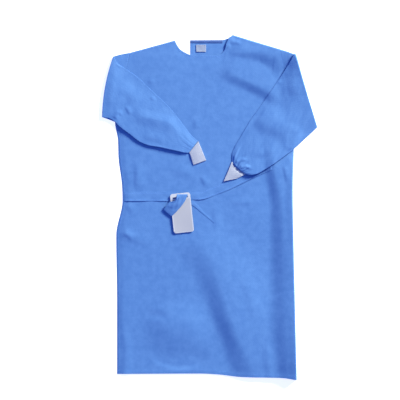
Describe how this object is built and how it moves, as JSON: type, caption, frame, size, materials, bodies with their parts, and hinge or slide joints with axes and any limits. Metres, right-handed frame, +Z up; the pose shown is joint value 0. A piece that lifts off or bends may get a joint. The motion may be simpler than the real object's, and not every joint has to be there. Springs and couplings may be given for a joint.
{
  "type": "surgical gown",
  "caption": "Blue nonwoven surgical gown laid flat on its back, sleeves folded across the front, with knitted cuffs, a waist belt and its card.",
  "frame": {"origin": "centre of the laid-out gown's outline, on the surface it lies on", "axes": "+X to the right seen from above, +Y from the hem to the neck, +Z up off the surface"},
  "size_m": [0.775, 1.25, 0.0187],
  "materials": {
    "nonwoven": "matt spunbond nonwoven",
    "band": "folded nonwoven",
    "rib_knit": "white rib knit",
    "card": "plain white card",
    "label": "plain white label"
  },
  "bodies": {
    "root": {"front": "nonwoven", "back_left": "nonwoven", "back_right": "nonwoven", "sleeve_left": "nonwoven", "sleeve_right": "nonwoven", "cuff_left": "rib_knit", "cuff_right": "rib_knit", "belt_left": "nonwoven", "belt_right": "nonwoven", "belt_loop": "nonwoven", "belt_tail": "nonwoven", "neck_band": "band", "transfer_card": "card", "label": "label"}
  },
  "joints": []
}
